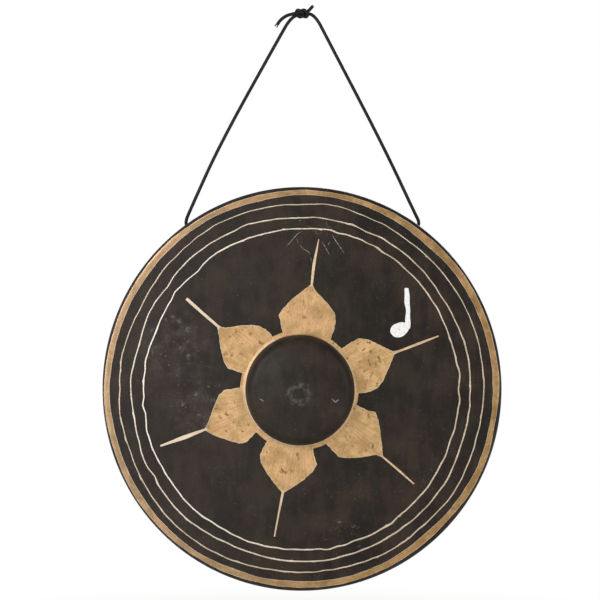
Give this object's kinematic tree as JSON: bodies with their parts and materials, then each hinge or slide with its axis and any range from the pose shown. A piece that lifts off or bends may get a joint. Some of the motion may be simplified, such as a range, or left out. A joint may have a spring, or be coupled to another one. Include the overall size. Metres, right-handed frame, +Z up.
{
  "type": "bossed gong",
  "caption": "Round bossed gong of sheet brass with a deep turned rim, hung on a knotted cord loop that passes through two holes in the rim.",
  "frame": {"origin": "the hang point, where a hook's saddle touches the cord just under its knot, with the gong hanging at rest", "axes": "+Z up, the gong's decorated face looks toward -Y and its open back toward +Y, +X to the right as seen from the front"},
  "size_m": [0.48, 0.116, 0.7012],
  "materials": {
    "blackened_brass": "hammered sheet brass under a thin worn black lacquer",
    "bare_brass": "scraped and brushed bare brass, pitted",
    "black_cord": "tight round braid, black synthetic yarn"
  },
  "bodies": {
    "knot": {"cord_knot": "black_cord", "cord_tail_left": "black_cord", "cord_tail_right": "black_cord"},
    "cord": {"cord_loop": "black_cord"},
    "gong": {"gong_face": "blackened_brass", "gong_rim": "blackened_brass", "rim_weld": "bare_brass", "rim_seam_weld": "bare_brass"}
  },
  "joints": [
    {"name": "cord_swing", "type": "hinge", "parent": "knot", "child": "cord", "pos_m": [0, 0, 0.0056], "axis": [1, 0, 0], "range_deg": [-40, 40]},
    {"name": "gong_rock", "type": "hinge", "parent": "cord", "child": "gong", "pos_m": [0, 0, -0.25048], "axis": [1, 0, 0], "range_deg": [-30, 30]}
  ]
}
